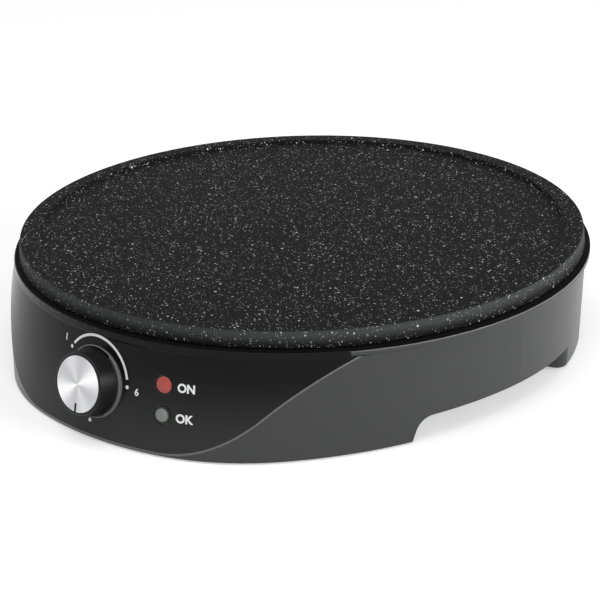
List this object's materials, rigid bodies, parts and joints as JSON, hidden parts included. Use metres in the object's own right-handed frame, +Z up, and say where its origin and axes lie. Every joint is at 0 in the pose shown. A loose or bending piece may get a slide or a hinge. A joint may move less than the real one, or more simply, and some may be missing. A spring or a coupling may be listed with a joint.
{
  "type": "electric crepe maker",
  "caption": "Round cast crepe plate with a low raised rim on a shallow moulded base, whose sloped front panel carries one rotary control and two signal lamps.",
  "frame": {"origin": "middle of the bottom of the part's box, on the table", "axes": "+Z up, control panel towards -Y, cord gland towards +Y, +X to the right seen from the front"},
  "size_m": [0.3074, 0.3274, 0.0644],
  "materials": {
    "bulb_glass": "clear glass",
    "cap_aluminium": "spun face with circular brushing",
    "ceramic": "unglazed ceramic",
    "clear_lens": "translucent smoke-grey plastic, glossy",
    "cover_plastic": "moulded black plastic, fine matt grain",
    "element_steel": "dull steel sheath",
    "fuse_can": "drawn metal can",
    "gland_plastic": "black nylon",
    "housing_plastic": "moulded black heat-proof plastic, semi-gloss",
    "knob_plastic": "moulded black plastic, satin gloss",
    "mica": "pressed mica",
    "pad_rubber": "soft black rubber",
    "plate_coating": "stone-effect non-stick coating, satin, white specks on near black, over cast aluminium",
    "red_lens": "translucent red plastic, glossy",
    "reflector_sheet": "bright aluminised sheet",
    "terminal_plastic": "natural nylon",
    "tinned_brass": "tinned brass",
    "zinc_steel": "zinc-plated steel"
  },
  "bodies": {
    "base": {"base_housing": "housing_plastic", "bottom_cover": "cover_plastic", "bracket_screws": "zinc_steel", "clamp_screws": "zinc_steel", "cord_clamp": "gland_plastic", "cord_gland": "gland_plastic", "cover_screws": "zinc_steel", "element_beads": "ceramic", "element_pins": "element_steel", "front_left_pad": "pad_rubber", "front_right_pad": "pad_rubber", "fuse_clip": "zinc_steel", "griddle_plate": "plate_coating", "heat_reflector": "reflector_sheet", "heating_element": "element_steel", "insulating_washers": "mica", "plate_screws": "zinc_steel", "power_lamp_bulb": "bulb_glass", "power_lamp_lens": "red_lens", "ready_lamp_bulb": "bulb_glass", "ready_lamp_lens": "clear_lens", "rear_left_pad": "pad_rubber", "rear_right_pad": "pad_rubber", "terminal_block": "terminal_plastic", "terminal_screws": "tinned_brass", "thermal_fuse": "fuse_can", "thermostat_body": "ceramic", "thermostat_bracket": "zinc_steel", "thermostat_terminals": "tinned_brass"},
    "control": {"knob": "knob_plastic", "knob_cap": "cap_aluminium", "thermostat_spindle": "zinc_steel"}
  },
  "joints": [
    {"name": "knob_turn", "type": "hinge", "parent": "base", "child": "control", "pos_m": [0, -0.14961, 0.02865], "axis": [0, 0.9769, -0.2135], "range_deg": [0, 268]}
  ]
}
